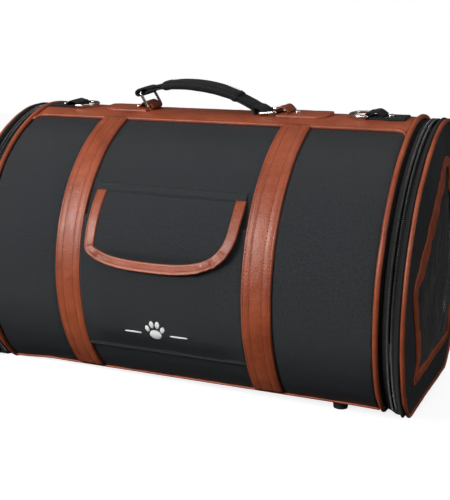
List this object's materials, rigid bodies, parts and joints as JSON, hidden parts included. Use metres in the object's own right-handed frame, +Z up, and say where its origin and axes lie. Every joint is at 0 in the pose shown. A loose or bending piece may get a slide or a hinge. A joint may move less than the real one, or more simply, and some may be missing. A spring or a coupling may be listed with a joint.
{
  "type": "pet carrier bag",
  "caption": "Soft barrel-shaped pet carrier with a mesh-window door at each end, flap pocket, top handle, shoulder strap rings and feet.",
  "frame": {"origin": "centre of the bounding box on the floor, under the feet", "axes": "+X along the bag's length to the right end, -Y out of the pocket side, +Z up"},
  "size_m": [0.4756, 0.2881, 0.3145],
  "materials": {
    "black_nylon": "matte woven nylon",
    "tan_leather": "semi-gloss grained faux leather",
    "black_webbing": "ribbed webbing",
    "window_mesh": "open mesh",
    "zipper_coil": "moulded coil",
    "nickel": "polished nickel plate",
    "screw_steel": "zinc plated",
    "foot_rubber": "matte moulded",
    "pad_fleece": "soft fleece",
    "board_plastic": "stiff sheet",
    "hook_and_loop": "hook and loop tape"
  },
  "bodies": {
    "root": {"back_panel": "black_nylon", "base_board": "board_plastic", "body_piping_left": "tan_leather", "body_piping_right": "tan_leather", "bottom_panel": "black_nylon", "bottom_piping_back": "tan_leather", "bottom_piping_front": "tan_leather", "comfort_pad": "pad_fleece", "d_ring_rivets": "nickel", "d_ring_tab_left": "black_webbing", "d_ring_tab_right": "black_webbing", "feet": "foot_rubber", "foot_screws": "screw_steel", "front_panel": "black_nylon", "handle_rivets": "nickel", "handle_tab_left": "tan_leather", "handle_tab_right": "tan_leather", "hinge_strip_left": "black_nylon", "hinge_strip_right": "black_nylon", "loop_patch": "hook_and_loop", "pocket_front": "black_nylon", "strap_back_left": "tan_leather", "strap_back_right": "tan_leather", "strap_front_left": "tan_leather", "strap_front_right": "tan_leather", "top_panel": "tan_leather", "wire_hoop_left": "screw_steel", "wire_hoop_right": "screw_steel", "zipper_coil_left": "zipper_coil", "zipper_coil_right": "zipper_coil", "zipper_tape_left": "black_webbing", "zipper_tape_right": "black_webbing"},
    "handle": {"handle_grip": "black_webbing", "handle_webbing": "black_webbing"},
    "flap": {"pocket_flap": "black_nylon", "flap_border": "tan_leather", "hook_patch": "hook_and_loop"},
    "door_left": {"door_panel_left": "black_nylon", "window_mesh_left": "window_mesh", "window_binding_left": "tan_leather", "door_piping_left": "tan_leather", "door_tape_left": "black_webbing", "door_coil_left": "zipper_coil"},
    "slider_left": {"slider_left": "nickel"},
    "pull_left": {"pull_left": "nickel"},
    "d_ring_left": {"d_ring_left": "nickel"},
    "handle_ring_left": {"handle_ring_left": "nickel"},
    "door_right": {"door_panel_right": "black_nylon", "window_mesh_right": "window_mesh", "window_binding_right": "tan_leather", "door_piping_right": "tan_leather", "door_tape_right": "black_webbing", "door_coil_right": "zipper_coil"},
    "slider_right": {"slider_right": "nickel"},
    "pull_right": {"pull_right": "nickel"},
    "d_ring_right": {"d_ring_right": "nickel"},
    "handle_ring_right": {"handle_ring_right": "nickel"}
  },
  "joints": [
    {"name": "door_left_hinge", "type": "hinge", "parent": "root", "child": "door_left", "pos_m": [-0.2353, 0.0025, 0.0076], "axis": [0, -1, 0], "range_deg": [0, 90]},
    {"name": "door_right_hinge", "type": "hinge", "parent": "root", "child": "door_right", "pos_m": [0.2353, 0.0025, 0.0076], "axis": [0, 1, 0], "range_deg": [0, 90]},
    {"name": "flap_hinge", "type": "hinge", "parent": "root", "child": "flap", "pos_m": [-0.004, -0.11691, 0.202], "axis": [-1, 0, 0], "range_deg": [0, 150]},
    {"name": "handle_lift", "type": "hinge", "parent": "root", "child": "handle_ring_left", "pos_m": [-0.07725, -0.01317, 0.28532], "axis": [0, 0.9887, 0.15], "range_deg": [0, 42.28]},
    {"name": "handle_pivot", "type": "hinge", "parent": "handle_ring_left", "child": "handle", "pos_m": [-0.08628, -0.01558, 0.30117], "axis": [0, -0.9887, -0.15], "range_deg": [0, 49.54]},
    {"name": "handle_ring_right_hinge", "type": "hinge", "parent": "root", "child": "handle_ring_right", "pos_m": [0.06925, -0.01317, 0.28532], "axis": [0, 0.9887, 0.15], "range_deg": [0, 81.62]},
    {"name": "d_ring_left_hinge", "type": "hinge", "parent": "root", "child": "d_ring_left", "pos_m": [-0.172, -0.01304, 0.28443], "axis": [0, -0.9887, -0.15], "range_deg": [0, 150]},
    {"name": "slider_left_travel", "type": "hinge", "parent": "root", "child": "slider_left", "pos_m": [-0.224, -0.014, 0.124], "axis": [1, 0, 0], "range_deg": [0, 34]},
    {"name": "pull_left_hinge", "type": "hinge", "parent": "slider_left", "child": "pull_left", "pos_m": [-0.224, 0.12816, 0.05504], "axis": [1, 0, 0], "range_deg": [-12, 120]},
    {"name": "d_ring_right_hinge", "type": "hinge", "parent": "root", "child": "d_ring_right", "pos_m": [0.164, -0.01304, 0.28443], "axis": [0, 0.9887, 0.15], "range_deg": [0, 150]},
    {"name": "slider_right_travel", "type": "hinge", "parent": "root", "child": "slider_right", "pos_m": [0.224, -0.014, 0.124], "axis": [1, 0, 0], "range_deg": [0, 34]},
    {"name": "pull_right_hinge", "type": "hinge", "parent": "slider_right", "child": "pull_right", "pos_m": [0.224, 0.12816, 0.05504], "axis": [1, 0, 0], "range_deg": [-12, 120]}
  ],
  "couplings": [
    {"joint": "handle_pivot", "follows": "handle_lift", "ratio": 1.1717},
    {"joint": "handle_ring_right_hinge", "follows": "handle_lift", "ratio": 1.9306}
  ]
}
